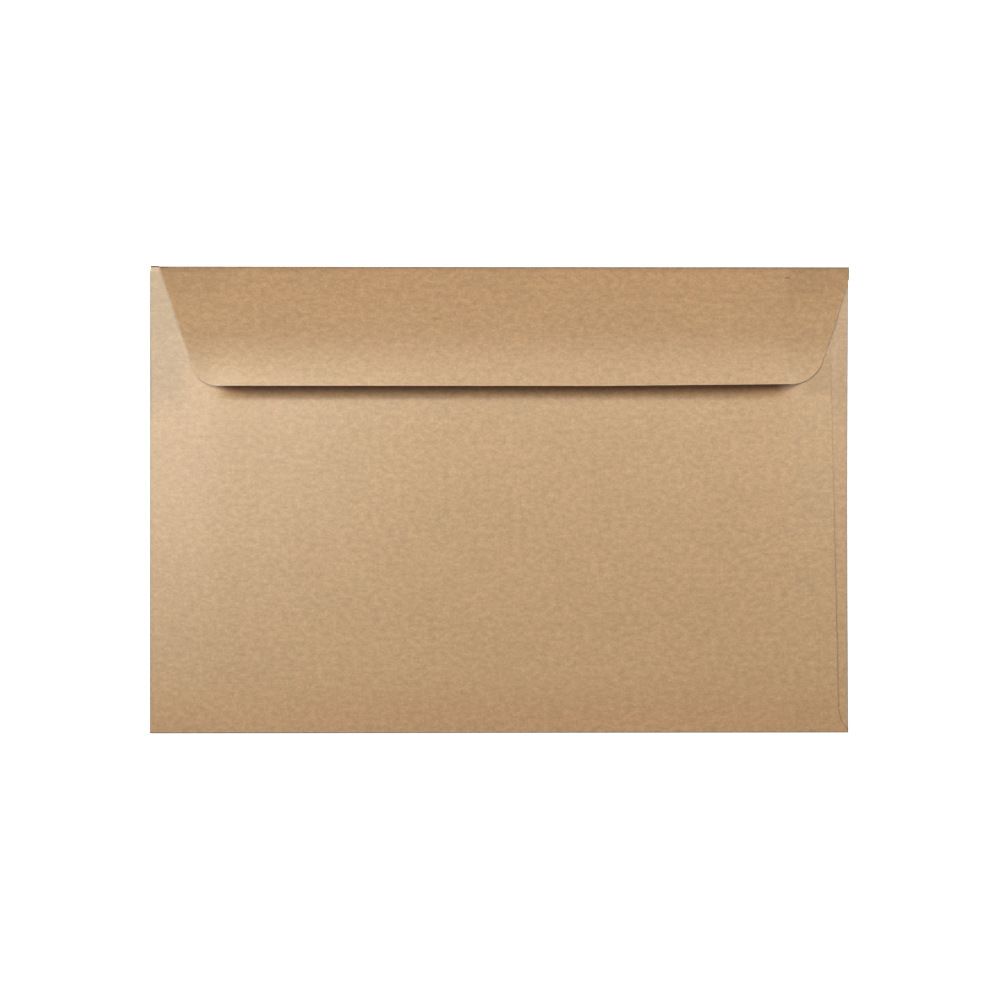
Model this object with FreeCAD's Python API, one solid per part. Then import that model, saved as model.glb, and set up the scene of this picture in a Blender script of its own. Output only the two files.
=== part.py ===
import FreeCAD, Part
import math
import os

# A booklet envelope, folded from one sheet of brown paper and lying on its address side.
# X runs along the long edge, Y from the bottom fold to the top fold, Z up from the table.
# All sizes are in millimetres and all angles in degrees.

# The folded envelope
envelope_length = 228.6
envelope_height = 152.4
paper = 0.15

# Air between the layers: inside the pocket along the tabs, and under the flap's two ends
pocket_air = 0.30
flap_air = 0.05

# Glue tabs, folded in from both ends of the address panel
tab_width = 19.0
tab_top_setback = 1.0
tab_bottom_setback = 1.2
tab_top_taper = 17.0
tab_bottom_taper = 30.0

# Corner of the address panel that stands past the top fold, and the die-cut slits at the folds
shoulder_height = 0.30
shoulder_slit = 0.06
slit = 0.30

# Back panel, folded up from the bottom over the tabs
throat_depth = 21.1
throat_corner_run = 8.2
throat_corner_drop = 5.0
left_inset_ends = 0.6
left_inset_middle = 1.25
right_inset_top = 6.6
right_inset_bottom = 2.9
left_flare_height = 4.0
right_flare_height = 6.2
sag = 0.20
sag_run = 20.0

# Seal flap, folded down from the top edge
flap_start = 3.1
flap_overhang = 0.30
flap_depth = 39.35
flap_right_rise = 0.75
flap_rise_start = 80.0
flap_shoulder = 3.9
flap_left_slope = 18.3
flap_right_slope = 18.1
flap_left_corner = 8.6
flap_right_corner = 11.0
flap_lift = 0.60
left_lift_start = 18.3
left_lift_end = 30.8
right_lift_end = 28.3
right_lift_start = 14.8

# Heights of the layers
tab_under = paper + pocket_air
back_under = tab_under + paper
flap_under = back_under + paper + flap_air
side_radius = (tab_under + paper) / 2
bottom_radius = (back_under + paper) / 2
top_radius = (flap_under + paper) / 2

# Lines where the flat sheet turns into its folds
half_length = envelope_length / 2
half_height = envelope_height / 2
side_line = half_length - side_radius
bottom_line = bottom_radius - half_height
top_line = half_height - top_radius
tab_bottom = tab_bottom_setback - half_height
tab_top = half_height - tab_top_setback
tab_end = side_line - tab_width
throat_line = half_height - throat_depth
flap_left = flap_start - half_length
flap_right = half_length + flap_overhang


def point(x, y, z=0.0):
    return FreeCAD.Vector(x, y, z)


def prism(edges, low, high):
    """A flat piece of sheet with a closed outline of edges, between two heights."""
    face = Part.Face(Part.Wire(Part.__sortEdges__(edges)))
    face.translate(point(0, 0, low))
    return face.extrude(point(0, 0, high - low))


def lines(corners):
    """Straight edges through a list of corners, without the closing one."""
    return [Part.makeLine(point(*a), point(*b)) for a, b in zip(corners, corners[1:])]


def plate(corners, under):
    """A piece of the sheet with straight sides, its lower face at the height given."""
    return prism(lines(corners + corners[:1]), under, under + paper)


def fold(radius, length):
    """A half turn of the sheet, from height 0 to twice its outer radius.

    It bulges along -Y from the line Y = 0 and runs along X from 0.
    """
    bore = radius - paper
    outside = Part.Arc(point(0, 0, 0), point(0, -radius, radius), point(0, 0, 2 * radius))
    inside = Part.Arc(point(0, 0, paper), point(0, -bore, radius), point(0, 0, paper + 2 * bore))
    ends = [
        Part.makeLine(point(0, 0, 0), point(0, 0, paper)),
        Part.makeLine(point(0, 0, 2 * radius), point(0, 0, 2 * radius - paper)),
    ]
    edges = [outside.toShape(), inside.toShape()] + ends
    section = Part.Face(Part.Wire(Part.__sortEdges__(edges)))
    return section.extrude(point(length, 0, 0))


def place(shape, turn, x, y):
    """Turn a fold about Z and set its starting corner at a place on the table."""
    shape.Placement = FreeCAD.Placement(point(x, y), FreeCAD.Rotation(point(0, 0, 1), turn))
    return shape


def curved_sheet(x_low, x_high, y_low, y_high, under, across, along):
    """A bent piece of sheet over a rectangle.

    Its rise is the product of one curve across X and one along Y, each a list of Bezier heights.
    """
    surface = Part.BezierSurface()
    surface.increase(len(across) - 1, len(along) - 1)
    for i, rise_across in enumerate(across):
        for j, rise_along in enumerate(along):
            x = x_low + (x_high - x_low) * i / (len(across) - 1)
            y = y_low + (y_high - y_low) * j / (len(along) - 1)
            pole = point(x, y, under + rise_across * rise_along)
            surface.setPole(i + 1, j + 1, pole)
    return surface.toShape().extrude(point(0, 0, paper))


def bowed_sheets(stations, y_low, y_high, under, along):
    """Three sheets side by side: a soft ramp, a level stretch and a ramp back, between four X."""
    curves = [[0, 0, 1, 1], [1, 1], [1, 1, 0, 0]]
    stretches = zip(stations, stations[1:], curves)
    return [curved_sheet(a, b, y_low, y_high, under, across, along) for a, b, across in stretches]


def front_panel():
    """The address panel, with ears out to the corners and its shoulder past the top fold."""
    shoulder_end = flap_left - shoulder_slit
    corners = [
        (-half_length, bottom_line),
        (half_length, bottom_line),
        (half_length, tab_bottom),
        (side_line, tab_bottom),
        (side_line, tab_top),
        (flap_right, tab_top),
        (flap_right, top_line),
        (shoulder_end, top_line),
        (shoulder_end, half_height + shoulder_height),
        (-side_line, half_height + shoulder_height),
        (-side_line, tab_bottom),
        (-half_length, tab_bottom),
    ]
    return plate(corners, 0)


def tab(side):
    """A glue tab with tapered ends, and the fold that joins it to the address panel."""
    start = tab_bottom + slit
    end = tab_top - slit
    start_inside = start + tab_width * math.tan(math.radians(tab_bottom_taper))
    end_inside = end - tab_width * math.tan(math.radians(tab_top_taper))
    corners = [
        (side * side_line, start),
        (side * side_line, end),
        (side * tab_end, end_inside),
        (side * tab_end, start_inside),
    ]
    turn = fold(side_radius, end - start)
    if side > 0:
        turn = place(turn, 90, side_line, start)
    else:
        turn = place(turn, -90, -side_line, end)
    return [plate(corners, tab_under), turn]


def back_left():
    """The part of the back panel glued to the left tab, with its slightly bowed edge."""
    edge_ends = left_inset_ends - half_length
    edge_start = left_flare_height - half_height
    edge_end = throat_line - throat_corner_drop
    bow = Part.Arc(
        point(edge_ends, edge_start),
        point(left_inset_middle - half_length, (edge_start + edge_end) / 2),
        point(edge_ends, edge_end),
    )
    rest = [
        (edge_ends, edge_end),
        (edge_ends + throat_corner_run, throat_line),
        (-tab_end, throat_line),
        (-tab_end, bottom_line),
        (-half_length, bottom_line),
        (edge_ends, edge_start),
    ]
    return prism([bow.toShape()] + lines(rest), back_under, back_under + paper)


def back_right():
    """The part of the back panel glued to the right tab, cut narrower toward the throat."""
    corners = [
        (half_length, bottom_line),
        (half_length - right_inset_bottom, right_flare_height - half_height),
        (half_length - right_inset_top, throat_line - throat_corner_drop),
        (half_length - right_inset_top - throat_corner_run, throat_line),
        (tab_end, throat_line),
        (tab_end, bottom_line),
    ]
    return plate(corners, back_under)


def back_middle():
    """The free middle of the back panel, which sags a little between the tabs."""
    stations = [-tab_end, sag_run - tab_end, tab_end - sag_run, tab_end]
    return bowed_sheets(stations, bottom_line, throat_line, back_under, [0, -sag, -sag, -sag])


def flap_outline():
    """The flap's outline as an upright prism, with its lower corners rounded."""
    low = half_height - flap_depth
    low_right = low + flap_right_rise
    shoulder = half_height - flap_shoulder
    left_run = flap_depth * math.tan(math.radians(flap_left_slope))
    right_run = (shoulder - low_right) * math.tan(math.radians(flap_right_slope))
    corners = [
        (flap_left, top_line),
        (flap_left, half_height),
        (flap_left + left_run, low),
        (half_length - flap_rise_start, low),
        (flap_right - right_run, low_right),
        (flap_right, shoulder),
        (flap_right, top_line),
    ]
    # The side starts at the fold line, so its first stretch lies on the fold itself.
    slope_start = flap_left + top_radius * math.tan(math.radians(flap_left_slope))
    corners[0:2] = [(slope_start, top_line)]
    height = flap_under + flap_lift + paper + 1
    solid = prism(lines(corners + corners[:1]), 0, height)
    solid = round_corner(solid, corners[1], flap_left_corner)
    return round_corner(solid, corners[3], flap_right_corner)


def round_corner(solid, corner, radius):
    """Round the upright edge that stands on one corner of a prism."""
    for edge in solid.Edges:
        middle = edge.valueAt((edge.FirstParameter + edge.LastParameter) / 2)
        upright = abs(edge.tangentAt(edge.FirstParameter).z) > 0.99
        if upright and math.hypot(middle.x - corner[0], middle.y - corner[1]) < 0.001:
            return solid.makeFillet(radius, [edge])
    return solid


def flap():
    """The seal flap, which lies down at both ends and springs open a little between them."""
    low = half_height - flap_depth
    stations = [
        left_lift_start - half_length,
        left_lift_end - half_length,
        half_length - right_lift_end,
        half_length - right_lift_start,
    ]
    along = [flap_lift, 0.62 * flap_lift, 0.25 * flap_lift, 0]
    sheets = bowed_sheets(stations, low, top_line, flap_under, along)
    for x_low, x_high in ((flap_left, stations[0]), (stations[-1], flap_right)):
        sheets.append(curved_sheet(x_low, x_high, low, top_line, flap_under, [0, 0], [0, 0]))
    outline = flap_outline()
    return [sheet.common(outline) for sheet in sheets]


def bottom_fold():
    return place(fold(bottom_radius, envelope_length), 0, -half_length, bottom_line)


def top_fold():
    return place(fold(top_radius, flap_right - flap_left), 180, flap_right, top_line)


def folded_sheet():
    """All panels, tabs and folds as the one sheet that they are."""
    pieces = tab(-1) + tab(1) + [bottom_fold(), back_left(), back_right(), top_fold()]
    pieces = pieces + back_middle() + flap()
    return front_panel().multiFuse(pieces).removeSplitter()


sheet = folded_sheet()
os.makedirs("parts", exist_ok=True)
sheet.exportStep("parts/folded_sheet.step")
print("solids", len(sheet.Solids), "valid", sheet.isValid(), "volume", round(sheet.Volume, 1))
print("box", sheet.optimalBoundingBox())
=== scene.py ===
# %% [markdown]
# A brown paper envelope, seen from its flap side
#
# A booklet envelope is one die-cut sheet of paper. Two side tabs are folded in, the back panel is
# folded up from the bottom over them and glued down, and the seal flap is folded down from the
# top long edge. Nothing else is in it, so this lesson makes one piece and gives it nearly all of
# its care in three things: how the sheet bends, how its layers lie on each other, and how brown
# paper takes the light.

import math

import bmesh
import bpy
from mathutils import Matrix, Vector


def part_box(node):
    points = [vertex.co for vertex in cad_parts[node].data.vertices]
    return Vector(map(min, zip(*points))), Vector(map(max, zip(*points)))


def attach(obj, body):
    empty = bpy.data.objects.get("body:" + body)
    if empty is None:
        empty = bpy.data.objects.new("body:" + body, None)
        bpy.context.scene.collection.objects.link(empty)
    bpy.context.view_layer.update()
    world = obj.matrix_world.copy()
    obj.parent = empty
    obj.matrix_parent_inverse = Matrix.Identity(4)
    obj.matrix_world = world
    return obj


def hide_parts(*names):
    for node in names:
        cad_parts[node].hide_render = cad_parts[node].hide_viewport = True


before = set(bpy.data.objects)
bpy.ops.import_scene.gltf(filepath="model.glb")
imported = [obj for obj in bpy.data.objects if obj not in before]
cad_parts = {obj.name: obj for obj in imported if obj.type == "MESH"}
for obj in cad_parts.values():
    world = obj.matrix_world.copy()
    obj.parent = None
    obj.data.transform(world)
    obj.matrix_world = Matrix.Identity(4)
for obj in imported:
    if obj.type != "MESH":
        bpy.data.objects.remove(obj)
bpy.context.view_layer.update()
low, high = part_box("folded_sheet")
print("the folded sheet measures", [round(1000 * (b - a), 2) for a, b in zip(low, high)], "mm")

# %% [markdown]
# The sizes of the envelope
#
# A paper maker thinks of an envelope as lines on a flat sheet: fold lines, cut lines and how far
# each panel reaches. All sizes are real ones, in metres. The length, the height and the flap's
# depth were measured once more on the photographed envelope, and are within a quarter of a
# millimetre of the solid's. Both ends of the flap and the top of the shoulder are read from the
# frame, so the sheet that is folded here lies where the solid one lies.

# %% Sizes and heights of the layers
MM = 0.001
LENGTH = 228.75 * MM
HEIGHT = 152.65 * MM
PAPER = 0.15 * MM
GLUE = 0.02 * MM
POCKET_AIR = 0.30 * MM
FLAP_AIR = 0.05 * MM
TAB_WIDTH = 19.0 * MM
TAB_SETBACK = {"top": 1.0 * MM, "bottom": 1.2 * MM}
TAB_TAPER = {"top": math.radians(17), "bottom": math.radians(30)}
SLIT = 0.06 * MM
SHOULDER_SLIT = 0.06 * MM
THROAT_DEPTH = 21.1 * MM
FLAP_DEPTH = 39.1 * MM

# Heights of the middle of the paper, layer by layer
FRONT = PAPER / 2
TAB = FRONT + PAPER + POCKET_AIR
BACK = TAB + PAPER + GLUE
FLAP = BACK + PAPER + FLAP_AIR - GLUE

side_radius = (TAB - FRONT) / 2
bottom_radius = (BACK - FRONT) / 2
top_radius = (FLAP - FRONT) / 2
half_length = LENGTH / 2
half_height = HEIGHT / 2
side_line = half_length - side_radius - PAPER / 2
bottom_line = bottom_radius + PAPER / 2 - half_height
top_line = half_height - top_radius - PAPER / 2
tab_bottom = TAB_SETBACK["bottom"] - half_height
tab_top = half_height - TAB_SETBACK["top"]
tab_end = side_line - TAB_WIDTH
throat_line = half_height - THROAT_DEPTH
flap_left = low.x + 3.1 * MM
flap_right = high.x
print("fold radii", [round(r / MM, 3) for r in (side_radius, bottom_radius, top_radius)], "mm")

# %% [markdown]
# Helpers for working by hand
#
# Each step below is one that could be done with the mouse: box-select some corners of the mesh,
# then extrude, spin or cut. The box selection is written as a test on a corner's place.

# %% Selecting, extruding and cutting
TINY = 0.01 * MM
FOLD_STEPS = 10


def select(piece, test):
    """Select the vertices whose place passes the test, and the edges and faces between them."""
    bpy.ops.mesh.select_mode(type="VERT")
    bpy.ops.mesh.select_all(action="DESELECT")
    mesh = bmesh.from_edit_mesh(piece.data)
    for vertex in mesh.verts:
        vertex.select_set(test(vertex.co))
    mesh.select_flush(True)
    bmesh.update_edit_mesh(piece.data)


def on_line(value, line):
    """Whether a coordinate lies on a line, a layer or a cut."""
    return abs(value - line) < TINY


def extrude(piece, step, count=1):
    """Pull the selected edges out by one step, and again from there, count times."""
    for _ in range(count):
        bpy.ops.mesh.extrude_region_move(TRANSFORM_OT_translate={"value": step})


def half_turn(radius, centre, axis):
    """Roll the selected edges round a fold, from the lower layer to the upper one."""
    bpy.ops.mesh.spin(steps=FOLD_STEPS, angle=math.pi, center=centre, axis=axis)


def cut(piece, test, through, away, keep=False):
    """Cut the selected part of the sheet along a line, and drop what lies on the away side."""
    select(piece, test)
    bpy.ops.mesh.bisect(
        plane_co=(through[0], through[1], 0),
        plane_no=(away[0], away[1], 0),
        clear_outer=not keep,
        threshold=TINY / 100,
    )


print("a fold turns round in", FOLD_STEPS, "steps")

# %% [markdown]
# The address panel
#
# The largest panel lies flat on the table. A grid is the natural start for paper that will bend
# later, because a bend needs rows of faces to bend along. Extra cut lines mark where the tabs,
# the slits and the flap begin, and the small ears reach out to the corners between two folds.

# %% Make the address panel
CELL = 3.0 * MM
RAMP_COLUMNS = 6
FIRST_COLUMN = 5.5
bpy.ops.object.select_all(action="DESELECT")
bpy.ops.mesh.primitive_grid_add(
    x_subdivisions=round(2 * side_line / CELL),
    y_subdivisions=round((top_line - bottom_line) / CELL),
    size=1,
    location=(0, 0, 0),
)
envelope = bpy.context.object
envelope.name = "envelope"
bpy.ops.object.mode_set(mode="EDIT")
bpy.ops.transform.resize(value=(2 * side_line, top_line - bottom_line, 1))
bpy.ops.transform.translate(value=(0, (top_line + bottom_line) / 2, FRONT))


def mark(x=None, y=None):
    """Add a line of vertices across the whole sheet, without dropping any of it."""
    if y is None:
        cut(envelope, lambda place: True, (x, 0), (1, 0), keep=True)
    else:
        cut(envelope, lambda place: True, (0, y), (0, 1), keep=True)


for y in (tab_bottom, tab_bottom + SLIT, tab_top - SLIT, tab_top):
    mark(y=y)
for x in (flap_left - SHOULDER_SLIT, flap_left, -tab_end, tab_end):
    mark(x=x)

# Where the flap will ramp down at its ends, lines are added halfway between the grid's own.
for column in range(RAMP_COLUMNS):
    for side in (-1, 1):
        mark(x=side * (side_line - (column + FIRST_COLUMN) * CELL))

ears = [
    (side_line, -half_height, tab_bottom, half_length - side_line),
    (-side_line, -half_height, tab_bottom, side_line - half_length),
    (side_line, tab_top, half_height, flap_right - side_line),
]
for x, y_low, y_high, reach in ears:
    select(envelope, lambda p: on_line(p.x, x) and y_low - TINY < p.y < y_high + TINY)
    extrude(envelope, (reach, 0, 0))
select(envelope, lambda p: on_line(p.y, top_line) and p.x < flap_left - SHOULDER_SLIT + TINY)
extrude(envelope, (0, high.y - top_line, 0))
print("the address panel has", len(bmesh.from_edit_mesh(envelope.data).faces), "faces")

# %% [markdown]
# The glue tabs
#
# Each tab hangs on a fold at a short edge. A fold in paper isn't a sharp crease: the sheet turns
# round in a half circle as wide as the layers that lie between. Spin makes that half circle from
# the panel's edge, and the tab is then drawn inwards and its ends are cut to a taper.

# %% Fold in the tabs
TAB_COLUMNS = 5
for side in (-1, 1):
    select(
        envelope,
        lambda p: on_line(p.x, side * side_line)
        and tab_bottom + SLIT - TINY < p.y < tab_top - SLIT + TINY,
    )
    half_turn(side_radius, (side * side_line, 0, FRONT + side_radius), (0, side, 0))
    extrude(envelope, (-side * TAB_WIDTH / TAB_COLUMNS, 0, 0), TAB_COLUMNS)

    def in_tab(p):
        return p.z > TAB - TINY and side * p.x > tab_end - TINY

    for end, direction in (("top", 1), ("bottom", -1)):
        start = tab_top - SLIT if end == "top" else tab_bottom + SLIT
        lean = TAB_TAPER[end]
        cut(
            envelope,
            in_tab,
            (side * side_line, start),
            (-side * math.sin(lean), direction * math.cos(lean)),
        )
print("tab layer at", round(TAB / MM, 3), "mm")

# %% [markdown]
# The back panel
#
# It is folded up from the bottom edge, over the tabs. Its sides aren't parallel to the short
# edges: the right one slants in toward the throat, the left one bows by a little over half a
# millimetre, and both run out to the corners at the bottom. These are the seam lines that the eye
# finds first.

# %% Fold up the back panel and trim it
INSET_LEFT = {"ends": 0.6 * MM, "middle": 1.25 * MM}
INSET_RIGHT = {"top": 6.0 * MM, "bottom": 3.4 * MM, "bend": 2.6 * MM}
FLARE = {"left": 4.0 * MM, "right": 7.5 * MM, "bend": 4.0 * MM}
THROAT_CORNER = (8.2 * MM, 5.0 * MM)

select(envelope, lambda p: on_line(p.y, bottom_line) and on_line(p.z, FRONT))
half_turn(bottom_radius, (0, bottom_line, FRONT + bottom_radius), (1, 0, 0))
rows = round((throat_line - bottom_line) / CELL)
extrude(envelope, (0, (throat_line - bottom_line) / rows, 0), rows)


def in_back(p):
    """Whether a spot belongs to the back panel."""
    return on_line(p.z, BACK) and p.y > bottom_line - TINY


def cut_between(test, start, end):
    """Cut along the line from start to end, and drop what lies to the left of that way."""
    run = Vector(end) - Vector(start)
    cut(envelope, test, start, (-run.y, run.x))


right_low = (half_length - INSET_RIGHT["bottom"], FLARE["right"] - half_height)
right_bend = (half_length - INSET_RIGHT["bend"], FLARE["bend"] - half_height)
right_high = (half_length - INSET_RIGHT["top"], throat_line - THROAT_CORNER[1])
left_low = (INSET_LEFT["ends"] - half_length, FLARE["left"] - half_height)
left_high = (INSET_LEFT["ends"] - half_length, throat_line - THROAT_CORNER[1])
for corner in (left_low, right_low, right_bend):
    cut(envelope, in_back, corner, (0, 1), keep=True)


def seam(x_sign, y_low, y_high):
    """A test for the part of the back panel by one seam, between two heights."""
    return lambda p: in_back(p) and x_sign * p.x > 0 and y_low - TINY < p.y < y_high + TINY


seam_cuts = [
    (seam(1, right_low[1], throat_line), right_high, right_low),
    (seam(1, right_bend[1], right_low[1]), right_low, right_bend),
    (seam(1, bottom_line, right_bend[1]), right_bend, (half_length, bottom_line)),
    (seam(-1, left_low[1], throat_line), left_low, left_high),
    (seam(-1, bottom_line, left_low[1]), (-half_length, bottom_line), left_low),
]
seam_sides = []
for test, start, end in seam_cuts:
    run = (Vector(end) - Vector(start)).normalized()
    away = Vector((-run.y, run.x))
    cut(envelope, test, start, away, keep=True)
    seam_sides.append((test, Vector(start), away))
select(envelope, lambda p: any(t(p) and (p.xy - s).dot(a) > TINY for t, s, a in seam_sides))
bpy.ops.mesh.delete(type="VERT")
cut_between(in_back, left_high, (left_high[0] + THROAT_CORNER[0], throat_line))
cut_between(in_back, (right_high[0] - THROAT_CORNER[0], throat_line), right_high)
bpy.ops.object.mode_set(mode="OBJECT")

seam_middle = (left_low[1] + left_high[1]) / 2
seam_half = (left_high[1] - left_low[1]) / 2
bow = INSET_LEFT["middle"] - INSET_LEFT["ends"]
for vertex in envelope.data.vertices:
    if in_back(vertex.co) and vertex.co.x < left_low[0] + CELL / 2:
        bulge = max(0, 1 - ((vertex.co.y - seam_middle) / seam_half) ** 2)
        near = 1 - min(1, abs(vertex.co.x - left_low[0]) / CELL)
        vertex.co.x += bow * bulge * near
print("back panel layer at", round(BACK / MM, 3), "mm")

# %% [markdown]
# The seal flap
#
# The flap is folded down from the top edge. It is cut a little to the right of the envelope's
# middle, its sides lean in by 18 degrees, its lower edge rises slightly at the right, and both
# lower corners are round. A round corner is cut as a row of short straight cuts, each one
# touching the corner's circle, which is how a template knife would trim it.

# %% Fold down the flap and trim it
SLOPE = {"left": math.radians(18.3), "right": math.radians(18.1)}
CORNER = {"left": 8.6 * MM, "right": 11.0 * MM}
FLAP_RISE = 0.75 * MM
RISE_START = half_length - 80 * MM
SHOULDER = 3.9 * MM

bpy.ops.object.mode_set(mode="EDIT")
select(
    envelope,
    lambda p: on_line(p.y, top_line) and on_line(p.z, FRONT) and p.x > flap_left - TINY,
)
half_turn(top_radius, (0, top_line, FRONT + top_radius), (-1, 0, 0))
flap_low = half_height - FLAP_DEPTH
rows = round((top_line - flap_low) / (CELL / 2))
extrude(envelope, (0, (flap_low - top_line) / rows, 0), rows)


def in_flap(p):
    """Whether a spot belongs to the level part of the flap."""
    return on_line(p.z, FLAP) and p.y < top_line + TINY


left_base = Vector((flap_left, half_height))
left_foot = Vector((flap_left + FLAP_DEPTH * math.tan(SLOPE["left"]), flap_low))
right_base = Vector((flap_right, half_height - SHOULDER))
right_run = (right_base.y - flap_low - FLAP_RISE) * math.tan(SLOPE["right"])
right_foot = Vector((flap_right - right_run, flap_low + FLAP_RISE))
rise_start = Vector((RISE_START, flap_low))
RIM = 0.3 * MM
flap_edge = []


def trim(through, away):
    """Cut the flap along one line, and mark a narrow rim inside that line."""
    cut(envelope, in_flap, through - RIM * away, away, keep=True)
    cut(envelope, in_flap, through, away)
    flap_edge.append((through.copy(), away.copy()))


for start, end in ((left_foot, left_base), (right_base, right_foot), (right_foot, rise_start)):
    run = (end - start).normalized()
    trim(start, Vector((-run.y, run.x)))
trim(left_foot, Vector((0, -1)))


def round_corner(before, corner, after, radius, cuts=12):
    """Trim the flap at one corner, going clockwise along its outline from before to after."""
    arrive = (corner - before).normalized()
    leave = (after - corner).normalized()
    turn = arrive.angle(leave)
    outward = Vector((-arrive.y, arrive.x))
    start = corner - arrive * radius * math.tan(turn / 2)
    centre = start - outward * radius
    for step in range(1, cuts):
        angle = -turn * step / cuts
        normal = Vector(
            (
                outward.x * math.cos(angle) - outward.y * math.sin(angle),
                outward.x * math.sin(angle) + outward.y * math.cos(angle),
            )
        )
        trim(centre + normal * radius, normal)


round_corner(right_base, right_foot, rise_start, CORNER["right"])
round_corner(rise_start, left_foot, left_base, CORNER["left"])
bpy.ops.mesh.select_all(action="SELECT")
bpy.ops.mesh.remove_doubles(threshold=TINY)
bpy.ops.mesh.normals_make_consistent(inside=False)
bpy.ops.object.mode_set(mode="OBJECT")

rim = envelope.data.attributes.new("rim", "FLOAT", "POINT")
for vertex in envelope.data.vertices:
    if in_flap(vertex.co):
        inside = min((through - vertex.co.xy).dot(away) for through, away in flap_edge)
        rim.data[vertex.index].value = max(0, 1 - inside / RIM)
print("the flap's layer at", round(FLAP / MM, 3), "mm, with", len(envelope.data.polygons), "faces")

# %% [markdown]
# Where each spot lay on the flat sheet
#
# Paper gets its fibres and clouds while it is still flat, and folding carries them along. So the
# pattern mustn't run straight through the layers from above. Here each vertex is unrolled back to
# its place on the flat blank, one unit of the map for each metre of paper, and the material reads
# that map later.

# %% Unroll the folds into a map
def rolled(past, radius, z):
    """The length of paper from the start of a fold to a spot on it, past its line by some way."""
    return radius * math.atan2(past, FRONT + radius - z)


def blank_place(p):
    """Where a spot of the folded sheet lay on the flat blank."""
    u, v = p.x, p.y
    side = math.copysign(1, p.x)
    if on_line(p.z, FLAP):
        v = top_line + math.pi * top_radius + top_line - p.y
    elif p.y > top_line + TINY and p.x > flap_left - TINY:
        v = top_line + rolled(p.y - top_line, top_radius, p.z)
    elif on_line(p.z, BACK):
        v = bottom_line - math.pi * bottom_radius - (p.y - bottom_line)
    elif p.y < bottom_line - TINY:
        v = bottom_line - rolled(bottom_line - p.y, bottom_radius, p.z)
    elif on_line(p.z, TAB):
        u = side * (side_line + math.pi * side_radius + side_line - abs(p.x))
    elif abs(p.x) > side_line + TINY and p.z > FRONT + TINY:
        u = side * (side_line + rolled(abs(p.x) - side_line, side_radius, p.z))
    return u, v


flat_map = envelope.data.uv_layers.new(name="flat_sheet")
places = [blank_place(vertex.co) for vertex in envelope.data.vertices]
for loop in envelope.data.loops:
    flat_map.data[loop.index].uv = places[loop.vertex_index]
blank = [max(place[i] for place in places) - min(place[i] for place in places) for i in (0, 1)]
print("the flat blank measures", [round(size / MM, 1) for size in blank], "mm")

# %% [markdown]
# Bending the sheet
#
# Dead flat paper looks like metal. Two soft bends make it paper: the flap lies down at both ends
# and springs open a little between them, and the back panel sags between the glued tabs. Each
# bend is a product of one curve across the envelope and one along it. The flap's ends are pressed
# down a little more, on the back panel and on the bare tops of the tabs.

# %% Bend the flap and the back panel
def bezier(heights, t):
    """The height of a Bezier curve with these control heights, at t between 0 and 1."""
    t = min(1, max(0, t))
    n = len(heights) - 1
    return sum(math.comb(n, i) * t**i * (1 - t) ** (n - i) * h for i, h in enumerate(heights))


def plateau(x, left, right):
    """A level stretch with a soft ramp at each end, each ramp given by its two places."""
    rise = min(1, max(0, (x - left[0]) / (left[1] - left[0])))
    fall = min(1, max(0, (x - right[0]) / (right[1] - right[0])))
    return (3 - 2 * rise) * rise**2 - (3 - 2 * fall) * fall**2


SAG = 0.24 * MM
SAG_RAMP = 20 * MM
SAG_ALONG = [0, 1, 1, 1]
FLAP_LIFT = 0.63 * MM
FLAP_RAMPS = ((-96 * MM, -83.5 * MM), (91.5 * MM, 99.5 * MM))
FLAP_ALONG = [0, 0.25, 0.62, 1]
SAG_RAMPS = ((-tab_end, SAG_RAMP - tab_end), (tab_end - SAG_RAMP, tab_end))
OUT_OF_SQUARE = 0.0018
SIDE_BOW = 0.33 * MM
SEAM_DROP = FLAP_AIR - GLUE
TAB_DROP = 0.9 * PAPER
TAB_DROP_START = 1 * MM
TAB_DROP_RUN = 6 * MM
FOLD_RUN = 8 * MM


def pressed(p):
    """How far an end of the flap is pressed down, to the back panel or to the bare tab."""
    over_tab = min(1, max(0, (p.y - throat_line - TAB_DROP_START) / TAB_DROP_RUN))
    past_fold = min(1, (top_line - p.y) / FOLD_RUN)
    return (SEAM_DROP + TAB_DROP * over_tab) * past_fold


for vertex in envelope.data.vertices:
    p = vertex.co
    if on_line(p.z, FLAP) and p.y < top_line + TINY:
        along = bezier(FLAP_ALONG, (top_line - p.y) / (top_line - flap_low))
        level = plateau(p.x, *FLAP_RAMPS)
        p.z += FLAP_LIFT * level * along - pressed(p) * (1 - level)
    elif on_line(p.z, BACK) and abs(p.x) < tab_end:
        along = bezier(SAG_ALONG, (p.y - bottom_line) / (throat_line - bottom_line))
        p.z -= SAG * plateau(p.x, *SAG_RAMPS) * along

# The sheet was folded a little out of square, and its right edge runs in by a hair at the middle.
for vertex in envelope.data.vertices:
    p = vertex.co
    if p.x > side_line - CELL:
        last_cell = min(1, (p.x - side_line + CELL) / CELL)
        p.x -= SIDE_BOW * last_cell * max(0, 1 - (p.y / half_height) ** 2)
    p.y *= 1 - OUT_OF_SQUARE * p.x / half_length
lip_air = FLAP_LIFT + FLAP - BACK + SAG - PAPER
print("the flap's lower edge stands", round(lip_air / MM, 2), "mm off the back panel")

# %% [markdown]
# The thickness of the paper
#
# The sheet so far is the middle of the paper. Solidify gives it half its thickness to each side
# and closes the cut edges, so the layers show their edges where they lie on each other. The folds
# are smoothed and the cut edges stay sharp, and weighted normals keep the flat panels flat beside
# the folds.

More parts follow.
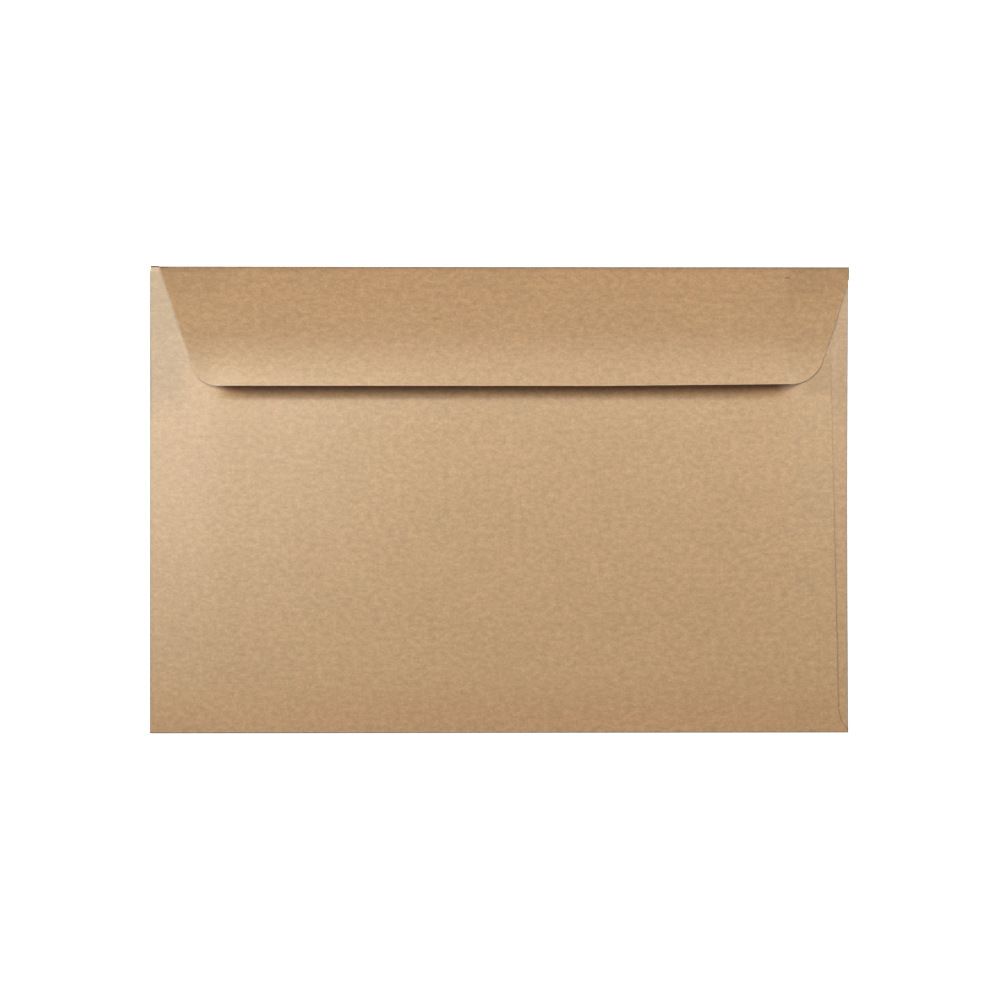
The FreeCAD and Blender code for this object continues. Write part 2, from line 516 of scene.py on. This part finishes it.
# %% Give the sheet its thickness
SMOOTH_BELOW = math.radians(35)
FULL_WEIGHT = 100
solid = envelope.modifiers.new("paper", "SOLIDIFY")
solid.thickness = PAPER
solid.offset = 0
bpy.ops.object.modifier_apply(modifier=solid.name)
bpy.ops.object.shade_smooth_by_angle(angle=SMOOTH_BELOW)
flats = envelope.modifiers.new("level panels", "WEIGHTED_NORMAL")
flats.weight = FULL_WEIGHT
flats.keep_sharp = True
bpy.ops.object.modifier_apply(modifier=flats.name)
print("triangles", sum(len(face.vertices) - 2 for face in envelope.data.polygons))

# %% [markdown]
# The brown paper
#
# Unbleached paper is a mat of long fibres that mostly lie along the machine's run. From a step
# away it shows three things: soft clouds where the pulp is thicker, short pale and dark fibres,
# and a few dark specks. Its surface is pressed almost smooth, so it has a broad soft sheen.

# %% Build the paper material
def add(tree, kind, **values):
    """Add a node and set its inputs or settings by name."""
    node = tree.nodes.new(kind)
    for name, value in values.items():
        if hasattr(node, name):
            setattr(node, name, value)
        else:
            node.inputs[name.replace("_", " ")].default_value = value
    return node


paper = bpy.data.materials.new("brown_paper")
paper.use_nodes = True
tree = paper.node_tree
surface = tree.nodes["Principled BSDF"]
sheet_map = add(tree, "ShaderNodeUVMap", uv_map="flat_sheet")


def noise(scale, stretch=(1, 1), detail=2, roughness=0.5, shift=0):
    """A noise on the flat sheet; its scale counts the blots in a metre, before the stretch."""
    spread = add(tree, "ShaderNodeMapping")
    spread.inputs["Scale"].default_value = (stretch[0], stretch[1], 1)
    spread.inputs["Location"].default_value = (shift, shift, 0)
    tree.links.new(sheet_map.outputs["UV"], spread.inputs["Vector"])
    cloud = add(tree, "ShaderNodeTexNoise", Scale=scale, Detail=detail, Roughness=roughness)
    tree.links.new(spread.outputs["Vector"], cloud.inputs["Vector"])
    return cloud.outputs["Fac"]


def math_node(operation, *terms, clamp=False):
    """One step of arithmetic on numbers and outputs."""
    node = add(tree, "ShaderNodeMath", operation=operation, use_clamp=clamp)
    for socket, term in zip(node.inputs, terms):
        if isinstance(term, (int, float)):
            socket.default_value = term
        else:
            tree.links.new(term, socket)
    return node.outputs["Value"]


def about_one(value, strength):
    """Turn a noise round 0.5 into a factor round 1, as strong as asked."""
    return math_node("MULTIPLY_ADD", value, strength, 1 - strength / 2)


LAYERS = [
    noise(1500, (0.9, 1.0), detail=1, shift=1),
    noise(620, (0.7, 1.0), detail=1, shift=2),
    noise(300, (0.8, 1.0), detail=1, shift=3),
    noise(120, (0.7, 1.0), detail=1, shift=4),
    noise(45, (0.8, 1.0), detail=2, shift=5),
]
STRENGTHS = [0.46, 0.45, 0.09, 0.07, 0.10]
tone = 1
for layer, strength in zip(LAYERS, STRENGTHS):
    tone = math_node("MULTIPLY", tone, about_one(layer, strength))
print("layers of cloud and fibre:", len(LAYERS))

# %% [markdown]
# The marked places, and the painted light and shade
#
# The flap has a few dark fibres. Most other places paint light and shade into the colour: painted
# shade on the top fold, the flap's top, the shoulder, the right seam and beside the flap's right
# side, a reddish painted shade under the lip, and painted highlights on the side and bottom folds,
# the tabs' tips, the seam and the flap's rim. The tops of the tabs and a strip by the left seam
# are just darker and greyer. Each place is a mask on the flat map, a product of soft steps, and
# each one multiplies the paper's brown by a colour of its own.

# %% Helpers for the masks
def blend(factor, first, second):
    """Mix two colours, each one given as numbers or as an output."""
    node = add(tree, "ShaderNodeMix", data_type="RGBA")
    sockets = {socket.name: socket for socket in node.inputs if socket.enabled}
    for name, value in (("Factor", factor), ("A", first), ("B", second)):
        if isinstance(value, (float, tuple)):
            sockets[name].default_value = value
        else:
            tree.links.new(value, sockets[name])
    return next(socket for socket in node.outputs if socket.enabled)


parts = add(tree, "ShaderNodeSeparateXYZ")
tree.links.new(sheet_map.outputs["UV"], parts.inputs["Vector"])
across, along = parts.outputs["X"], parts.outputs["Y"]


def share(value, start, end):
    """How far a value has gone from start to end, between 0 and 1, with soft ends."""
    node = add(tree, "ShaderNodeMapRange", interpolation_type="SMOOTHSTEP")
    tree.links.new(value, node.inputs["Value"])
    node.inputs["From Min"].default_value = start
    node.inputs["From Max"].default_value = end
    return node.outputs["Result"]


def both(*masks):
    """The part that lies in all of some masks."""
    result = masks[0]
    for mask in masks[1:]:
        result = math_node("MULTIPLY", result, mask)
    return result


BROWN = (0.423, 0.2785, 0.1474, 1.0)
REDDER_BROWN = (0.427, 0.2775, 0.1480, 1.0)
HUE_CONTRAST = 3.0
hue = noise(70, (0.8, 1.0), detail=2, shift=7)
hue_step = math_node("MULTIPLY_ADD", hue, HUE_CONTRAST, (1 - HUE_CONTRAST) / 2, clamp=True)
sheet_colour = blend(hue_step, BROWN, REDDER_BROWN)
print("the paper's brown is", BROWN[:3])

# %% Places on the map
flap_map_start = top_line + math.pi * top_radius
side_map_start = side_line + math.pi * side_radius
bottom_map_start = bottom_line - math.pi * bottom_radius
off_middle = math_node("ABSOLUTE", across)
lip_map = bottom_map_start - (flap_low - bottom_line)
print("the back panel's line under the lip is at", round(lip_map / MM, 1), "mm on the map")

# %% Painted shade on the flap's top and under its lip, and the dull places
# Painted shade: the flap is coloured darker towards its top fold. The same mask makes it dull
# there.
CREASE_DEPTH = 1.05 * FLAP_DEPTH
flap_top_shade_and_dull = both(
    share(along, flap_map_start - 1.5 * MM, flap_map_start - 0.5 * MM),
    share(along, flap_map_start + CREASE_DEPTH, flap_map_start),
)
rubbed = both(
    share(along, lip_map + 5.2 * MM, lip_map + 2.6 * MM),
    share(across, -94 * MM, -84 * MM),
    share(across, 96 * MM, 87 * MM),
    share(along, lip_map - 8 * MM, lip_map - 4 * MM),
)
# Painted shade: a strip under the flap's lip is coloured redder, like bounced light in the shade
# there.
reddish_shade_under_lip = both(
    share(along, lip_map + 4.0 * MM, lip_map + 0.8 * MM),
    share(along, lip_map - 8 * MM, lip_map - 4 * MM),
    share(across, -97 * MM, -90 * MM),
    share(across, 99 * MM, 92 * MM),
)
# Painted shadow beside the flap's lower right corner.
shadow_right_of_flap = both(
    share(along, lip_map + 4.5 * MM, lip_map + 0.5 * MM),
    share(along, lip_map - 18 * MM, lip_map - 9 * MM),
    share(across, 98 * MM, 103 * MM),
)
print("the crease fades out", round(CREASE_DEPTH / MM, 1), "mm past the top fold")

# %% Painted shade and painted highlights on the folds
# Painted shade on the top fold, and a little on the flap just past it.
top_fold_shade = both(
    share(along, top_line, flap_map_start - 0.6 * MM),
    share(along, flap_map_start + 0.4 * MM, flap_map_start - 0.1 * MM),
)
by_top_fold_shade = both(
    share(along, top_line, flap_map_start - 0.6 * MM),
    share(along, flap_map_start + 2.0 * MM, flap_map_start + 0.2 * MM),
)
# Painted sheen: the rounded side folds are coloured greyer.
side_fold_sheen = both(
    share(off_middle, side_line, side_line + 0.4 * MM),
    share(off_middle, side_map_start + 0.65 * MM, side_map_start),
)
# Painted highlight: the bottom fold, which turns away from the lamps, is coloured paler and
# greyer.
bottom_fold_highlight = both(
    share(along, bottom_line, bottom_line - 0.4 * MM),
    share(along, bottom_map_start - 0.4 * MM, bottom_map_start + 0.2 * MM),
)
# Painted shade: the back panel is coloured darker and redder towards the bottom fold.
shade_by_bottom_fold = both(
    share(along, bottom_map_start - 22 * MM, bottom_map_start - 2 * MM),
    share(along, bottom_line, bottom_line - 1 * MM),
)
print("the folds' rolled paper is", round(math.pi * top_radius / MM, 2), "mm wide at the top")

# %% Darker tab tops, painted shade at the shoulder and painted highlights on the tabs' tips
# The tops of both tabs are coloured darker and greyer; on the right tab this is painted shade
# beside the flap's side.
above_lip = share(along, 24 * MM, 36 * MM)
darker_left_tab_top = both(share(across, -side_map_start + 0.2 * MM, -side_map_start), above_lip)
painted_shade_right_tab = both(share(across, side_map_start - 0.2 * MM, side_map_start), above_lip)
# A strip of the back panel by the left seam, around and below the flap's lip, is coloured darker
# and greyer.
darker_left_seam_strip = both(
    share(across, -98 * MM, -107 * MM),
    share(across, -half_length - 0.5 * MM, -half_length),
    share(along, lip_map + 14 * MM, lip_map - 1 * MM),
    share(along, bottom_line, bottom_line - 1 * MM),
)

# The inner side of the address panel shows at the corner past the top fold, with painted shade in
# its colour.
shoulder = both(
    share(along, top_line + 0.1 * MM, top_line + 0.4 * MM),
    share(across, flap_left, flap_left - SHOULDER_SLIT),
)
# Painted highlight on the tabs' top tips.
tab_tip_highlight = both(
    share(off_middle, side_map_start - 0.2 * MM, side_map_start),
    share(along, tab_top - 1.4 * MM, tab_top - 0.6 * MM),
)
print("the shoulder ends", round((flap_left + half_length) / MM, 1), "mm from the left edge")

# %% The lines beside the right seam
# Painted shade runs down the tab beside the seam and out to the corner, with a painted highlight
# above it.
def line_by_height(low_end, high_end):
    """The X of a seam at each height of the map."""
    lean = (high_end[0] - low_end[0]) / (high_end[1] - low_end[1])
    return math_node("MULTIPLY_ADD", along, lean, low_end[0] - lean * low_end[1])


seam_x = line_by_height(right_low, right_high)
for low_end, high_end in ((right_bend, right_low), ((half_length, bottom_line), right_bend)):
    seam_x = math_node("MAXIMUM", seam_x, line_by_height(low_end, high_end))
folded_x = math_node("MULTIPLY_ADD", across, -1.0, side_line + side_map_start)
past_seam = math_node("SUBTRACT", folded_x, seam_x)
by_seam = both(
    share(across, side_map_start - 0.1 * MM, side_map_start),
    share(past_seam, 0.85 * MM, 0.05 * MM),
)
# Painted shade along the seam and at the flare, and a painted highlight higher up.
seam_shade = both(by_seam, share(along, 20 * MM, -35 * MM))
flare_seam_shade = both(by_seam, share(along, right_low[1] + 1 * MM, right_bend[1]))
seam_highlight = both(by_seam, share(along, -5 * MM, 15 * MM))
print("the right flare bends", round(FLARE["bend"] / MM, 1), "mm above the bottom edge")

# %% Fibres and the painted highlight on the flap's rim
def fibre(x, y, length, width):
    """A dark fibre pressed into the flap, round a spot of the folded envelope."""
    from_x = math_node("ABSOLUTE", math_node("SUBTRACT", across, x))
    from_y = math_node("ABSOLUTE", math_node("SUBTRACT", along, flap_map_start + (top_line - y)))
    return both(share(from_x, 0.6 * length, 0.3 * length), share(from_y, width, 0.2 * width))


long_fibre = fibre(-20.7 * MM, 59.2 * MM, 2.4 * MM, 0.45 * MM)
dark_fibre = fibre(94.3 * MM, 72.7 * MM, 1.6 * MM, 0.40 * MM)
short_fibre = fibre(5.4 * MM, 47.5 * MM, 1.0 * MM, 0.45 * MM)
# Painted highlight: the flap's rim is coloured paler, and more so at its two ends.
edge = add(tree, "ShaderNodeAttribute", attribute_name="rim").outputs["Fac"]
edge_ends = both(edge, share(off_middle, 90 * MM, 97 * MM))
print("the flap's pale rim is", round(RIM / MM, 1), "mm wide")

# %% Colour the paper
WHITE = (1.0, 1.0, 1.0, 1.0)
marks = (
    (long_fibre, (0.76, 0.75, 0.74)),
    (dark_fibre, (0.55, 0.52, 0.50)),
    (short_fibre, (0.76, 0.75, 0.74)),
    (darker_left_tab_top, (0.75, 0.77, 0.75)),
    (painted_shade_right_tab, (0.90, 0.90, 0.92)),
    (darker_left_seam_strip, (0.81, 0.83, 0.83)),
    (flap_top_shade_and_dull, (0.95, 0.91, 0.855)),
    (by_top_fold_shade, (0.87, 0.85, 0.86)),
    (top_fold_shade, (0.53, 0.66, 0.98)),
    (side_fold_sheen, (0.80, 0.97, 1.30)),
    (bottom_fold_highlight, (1.10, 1.38, 1.80)),
    (shade_by_bottom_fold, (0.975, 0.925, 0.89)),
    (shoulder, (0.50, 0.56, 0.62)),
    (tab_tip_highlight, (1.16, 1.30, 1.55)),
    (seam_shade, (0.92, 0.91, 0.90)),
    (flare_seam_shade, (0.76, 0.73, 0.70)),
    (seam_highlight, (1.13, 1.14, 1.15)),
    (reddish_shade_under_lip, (1.12, 0.97, 0.84)),
    (shadow_right_of_flap, (0.85, 0.83, 0.79)),
    (edge, (1.11, 1.13, 1.15)),
    (edge_ends, (1.14, 1.14, 1.13)),
)
for where, colour in marks:
    step = add(tree, "ShaderNodeVectorMath", operation="MULTIPLY")
    tree.links.new(sheet_colour, step.inputs[0])
    tree.links.new(blend(where, WHITE, (*colour, 1.0)), step.inputs[1])
    sheet_colour = step.outputs["Vector"]
toned = add(tree, "ShaderNodeVectorMath", operation="SCALE")
tree.links.new(sheet_colour, toned.inputs["Vector"])
tree.links.new(tone, toned.inputs["Scale"])
tree.links.new(toned.outputs["Vector"], surface.inputs["Base Color"])
surface.inputs["Specular IOR Level"].default_value = 0.5
# Besides the fibres and the darker tab tops and seam strip, these marks are painted shade and
# painted highlights.
print("worn and marked places:", len(marks))

# %% Polish the paper
# The machine leaves a soft sheen. It is dull where the flap was creased, and in a narrow strip
# under the flap's lip, where the two layers rub on each other.
SMOOTHEST = 0.40
DULLER = 1.2
RUBBED_SHARE = 0.8
dull = math_node("MAXIMUM", flap_top_shade_and_dull, math_node("MULTIPLY", rubbed, RUBBED_SHARE))
roughness = math_node("MULTIPLY_ADD", dull, DULLER, SMOOTHEST, clamp=True)
tree.links.new(roughness, surface.inputs["Roughness"])
envelope.data.materials.clear()
envelope.data.materials.append(paper)
print("the paper's roughness starts at", SMOOTHEST)

# %% Tie the piece to the frame
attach(envelope, "root")
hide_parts("folded_sheet")
print("the", envelope.name, "takes the place of the folded sheet")

# %% [markdown]
# The camera
#
# The photograph looks straight down, so that all four edges stay parallel. A long lens from well
# above does the same.

# %% Set up the camera
VIEW_HEIGHT = 1.2
VIEW_WIDTH = 327.4 * MM
VIEW_CENTRE = (0.31 * MM, -0.10 * MM)
SENSOR_WIDTH = 36
bpy.ops.object.camera_add(location=(*VIEW_CENTRE, VIEW_HEIGHT), rotation=(0, 0, 0))
camera = bpy.context.object
camera.data.sensor_width = SENSOR_WIDTH
camera.data.lens = camera.data.sensor_width * VIEW_HEIGHT / VIEW_WIDTH
bpy.context.scene.camera = camera
print("the lens is", round(camera.data.lens), "mm long")

# %% [markdown]
# The floor
#
# The photograph's background is plain white. The floor is a large plane just under the envelope.
# To the lamps it is a pale table, and Light Path makes it shine white where the camera or a
# reflection sees it, so no lamp has to be turned up for the background.

# %% Make the floor
FLOOR_SIZE = 4
FLOOR_DROP = 0.1 * MM
bpy.ops.mesh.primitive_plane_add(size=FLOOR_SIZE, location=(0, 0, -FLOOR_DROP))
floor = bpy.context.object
floor.name = "floor"
white = bpy.data.materials.new("white_floor")
white.use_nodes = True
floor_tree = white.node_tree
floor_surface = floor_tree.nodes["Principled BSDF"]
floor_surface.inputs["Base Color"].default_value = (0.8, 0.8, 0.8, 1)
floor_surface.inputs["Roughness"].default_value = 0.9
path = add(floor_tree, "ShaderNodeLightPath")
seen = path.outputs["Is Camera Ray"]
for kind in ("Is Glossy Ray", "Is Transmission Ray"):
    either = add(floor_tree, "ShaderNodeMath", operation="ADD", use_clamp=True)
    floor_tree.links.new(seen, either.inputs[0])
    floor_tree.links.new(path.outputs[kind], either.inputs[1])
    seen = either.outputs["Value"]
floor_surface.inputs["Emission Color"].default_value = (1, 1, 1, 1)
floor_tree.links.new(seen, floor_surface.inputs["Emission Strength"])
floor.data.materials.append(white)
print("the floor lies", round(FLOOR_DROP / MM, 1), "mm under the envelope")

# %% [markdown]
# The light
#
# The photograph's light comes low from behind the flap, so even a lip that stands open by less
# than a millimetre throws a long soft shadow. The row of key lamps goes from steep to grazing,
# each one shading a longer strip, and together they draw the shadow's slow fade. They don't shine
# in the gloss, where such low lamps would glare at anyone who looks from the front. The sheen
# comes from three long strips that hang close overhead and shine only in the gloss.

# %% Light the envelope
def lamp(name, place, size, power, gloss_only=False):
    """A soft lamp that looks at the middle of the envelope."""
    bpy.ops.object.light_add(type="AREA", location=place)
    light = bpy.context.object
    light.name = name
    light.rotation_euler = (-Vector(place)).to_track_quat("-Z", "Y").to_euler()
    light.data.shape = "RECTANGLE"
    light.data.size, light.data.size_y = size
    light.data.energy = power
    light.visible_diffuse = not gloss_only
    light.visible_glossy = gloss_only
    light.visible_camera = False
    return light


KEY_DISTANCE = 2.5
KEY_AZIMUTH = math.radians(101)
KEY_SIZE = (4.5, 0.35)
KEYS = {52: 18.8, 64: 38.5, 72: 99, 77: 117}
for off_vertical, power in KEYS.items():
    reach = KEY_DISTANCE * math.sin(math.radians(off_vertical))
    height = KEY_DISTANCE * math.cos(math.radians(off_vertical))
    place = (reach * math.cos(KEY_AZIMUTH), reach * math.sin(KEY_AZIMUTH), height)
    lamp("key_" + str(off_vertical), place, KEY_SIZE, power)
print("key lamps:", len(KEYS))

# %% Hang the sheen strips
# Each strip has a name, a middle in X, a length along X, two ends in Y and a power. It faces down.
SHEEN_HEIGHT = 0.276
SHEEN_COLOUR = (1.0, 1.0, 0.92)
SHEENS = (
    ("sheen_all", 0.0, 1.03, 0.018, 0.101, 1.15),
    ("sheen_left", -0.295, 0.41, -0.017, 0.173, 1.95),
    ("sheen_right", 0.327, 0.31, 0.036, 0.164, 1.1),
)
for name, x, length, y_low, y_high, power in SHEENS:
    place = (x, (y_low + y_high) / 2, SHEEN_HEIGHT)
    strip = lamp(name, place, (length, y_high - y_low), power, gloss_only=True)
    strip.rotation_euler = (0, 0, 0)
    strip.data.color = SHEEN_COLOUR
print("sheen strips:", len(SHEENS))

# %% Fill the room with a faint warm light
FILL_COLOUR = (1, 0.68, 0.43, 1)
FILL_STRENGTH = 0.14
world = bpy.data.worlds.new("studio")
bpy.context.scene.world = world
world.use_nodes = True
background = world.node_tree.nodes["Background"]
background.inputs["Color"].default_value = FILL_COLOUR
background.inputs["Strength"].default_value = FILL_STRENGTH
bpy.context.scene.view_settings.view_transform = "Standard"
print("the fill light's strength is", FILL_STRENGTH)
